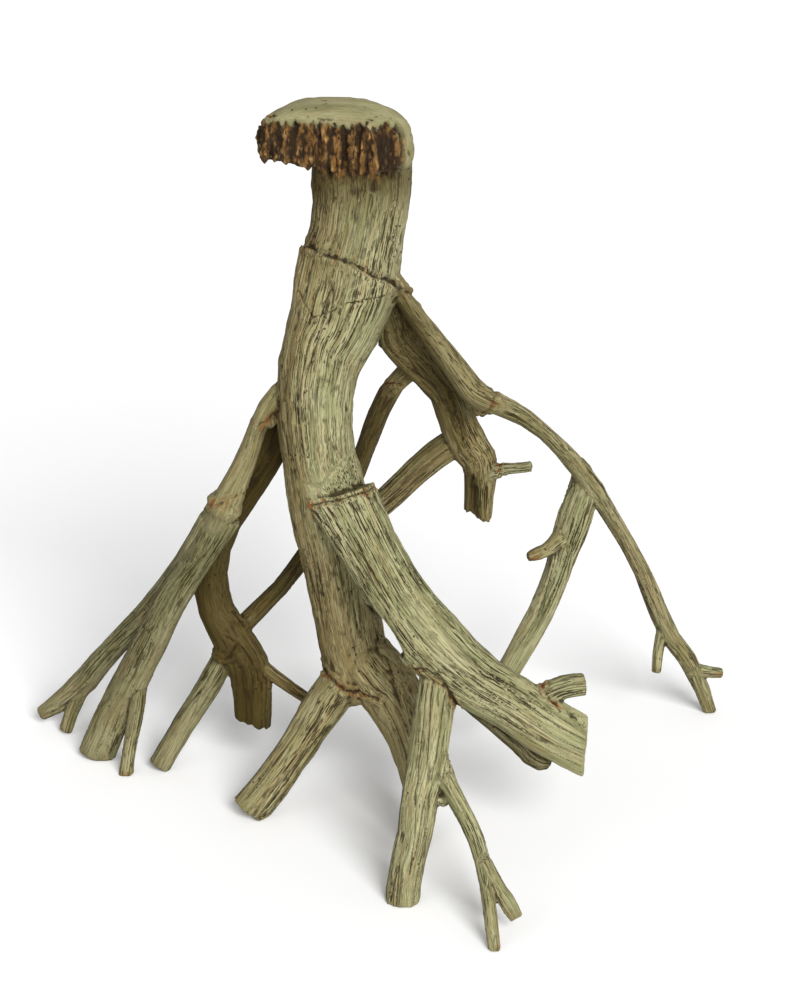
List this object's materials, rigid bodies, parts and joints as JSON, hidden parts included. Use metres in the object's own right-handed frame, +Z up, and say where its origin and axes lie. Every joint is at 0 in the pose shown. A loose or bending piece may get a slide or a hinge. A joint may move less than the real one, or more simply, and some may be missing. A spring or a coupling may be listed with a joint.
{
  "type": "dry root",
  "caption": "Dry, sand-scoured root crown: a capped neck and curved trunk that divides into spreading cut legs, hollow split ribs and thin twigs; stands on its root ends.",
  "frame": {"origin": "on the floor, under the middle of the object's bounding box", "axes": "+Z up, along the standing trunk; -Y towards the front, the side with the beaked front limb; +X to the right of someone facing that front"},
  "size_m": [0.5634, 0.3608, 0.56],
  "materials": {
    "wood": "dry weathered grey-green wood, matt, fissured along the grain"
  },
  "bodies": {
    "root": {"root": "wood"}
  },
  "joints": []
}
